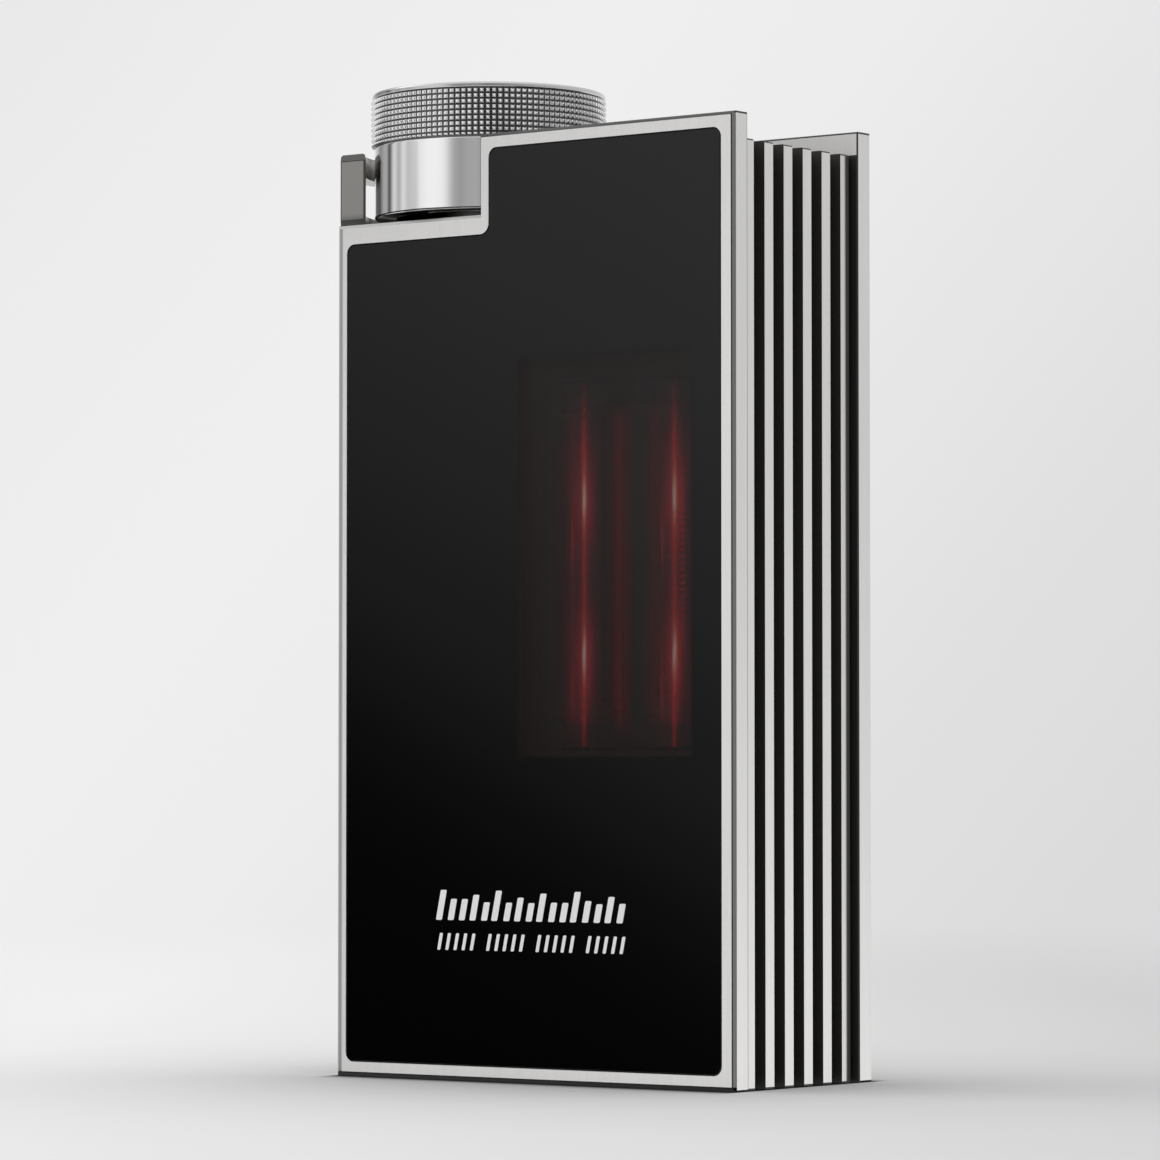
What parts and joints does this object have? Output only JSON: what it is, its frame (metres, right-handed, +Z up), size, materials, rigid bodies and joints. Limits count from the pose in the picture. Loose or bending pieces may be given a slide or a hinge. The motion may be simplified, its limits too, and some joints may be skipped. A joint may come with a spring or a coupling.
{
  "type": "headphone amplifier",
  "caption": "Pocket tube headphone amplifier: metal plates over a ribbed body, smoked glass front with glowing tubes, and a knurled press-and-turn dial in a corner notch.",
  "frame": {"origin": "centre of the flat lower end, midway between the outer faces of the two plates and midway across their width", "axes": "+Z up the height of the plates, +X to the right of the glass front, +Y from the glass front to the back plate"},
  "size_m": [0.0372, 0.0164, 0.0684],
  "materials": {
    "satin_plate": "satin, very finely brushed along the height, edges chamfered bright",
    "smoked_glass": "black smoked glass, glossy",
    "black_tape": "matt die-cut adhesive film",
    "black_anodised": "black anodised in the grooves, rib faces cut back to bright silver metal",
    "polished_steel": "fine-polished stainless steel, slightly darker than the plates",
    "black_steel": "black oxide",
    "knurled_metal": "bright, with a square-cut knurl round the rim",
    "polished_metal": "mirror-turned metal",
    "spun_metal": "spun, with fine concentric lines",
    "brass": "turned",
    "steel": "bright stamped steel",
    "nickel_brass": "nickel-plated",
    "black_plastic": "moulded black plastic",
    "white_plastic": "moulded acetal",
    "circuit_board": "dark solder mask over glass-fibre board",
    "flex_film": "amber polyimide film",
    "tube_glass": "clear thin-walled glass",
    "tube_metal": "dull carbonised nickel",
    "hot_filament": "glowing red when on",
    "tinned_wire": "tinned copper",
    "black_silicone": "matt black silicone",
    "gold_plate": "gold-plated, bright",
    "chip_epoxy": "moulded chip package",
    "capacitor_film": "wrapped film capacitor",
    "tantalum_epoxy": "moulded, ochre",
    "ferrite": "grey ferrite"
  },
  "bodies": {
    "housing": {"front_frame": "satin_plate", "back_plate": "satin_plate", "front_glass": "smoked_glass", "glass_adhesive": "black_tape", "chassis": "black_anodised", "knob_guard": "polished_steel", "guard_screws": "black_steel", "plate_screws": "black_steel", "encoder_body": "black_plastic", "encoder_nut": "nickel_brass", "switch_dome": "steel", "knob_board": "circuit_board", "main_board": "circuit_board", "board_screws": "black_steel", "board_flex": "flex_film", "tube_left_bulb": "tube_glass", "tube_right_bulb": "tube_glass", "tube_left_electrodes": "tube_metal", "tube_right_electrodes": "tube_metal", "tube_left_filament": "hot_filament", "tube_right_filament": "hot_filament", "tube_leads": "tinned_wire", "tube_cradle": "black_silicone", "jack_44_ring": "gold_plate", "jack_35_ring": "gold_plate", "jack_44_body": "black_plastic", "jack_35_body": "black_plastic", "jack_44_contacts": "tinned_wire", "jack_35_contacts": "tinned_wire", "usb_c_shell": "steel", "usb_c_tongue": "black_plastic", "dac_chip": "chip_epoxy", "usb_bridge_chip": "chip_epoxy", "controller_chip": "chip_epoxy", "opamp_chips": "chip_epoxy", "clock_oscillators": "steel", "coupling_capacitors": "capacitor_film", "tantalum_capacitors": "tantalum_epoxy", "power_inductors": "ferrite"},
    "press_stem": {"switch_plunger": "white_plastic"},
    "dial": {"knob_cap": "knurled_metal", "knob_skirt": "polished_metal", "knob_top_disc": "spun_metal", "knob_insert": "brass", "encoder_shaft": "steel"}
  },
  "joints": [
    {"name": "dial_press", "type": "slide", "parent": "housing", "child": "press_stem", "axis": [0, 0, -1], "range_m": [0, 0.00035], "stiffness_N_per_m": 600, "springref_m": -0.002, "deforming": ["switch_dome"]},
    {"name": "dial_turn", "type": "hinge", "parent": "press_stem", "child": "dial", "pos_m": [-0.00981, 0, 0.0645], "axis": [0, 0, 1], "continuous": true}
  ]
}
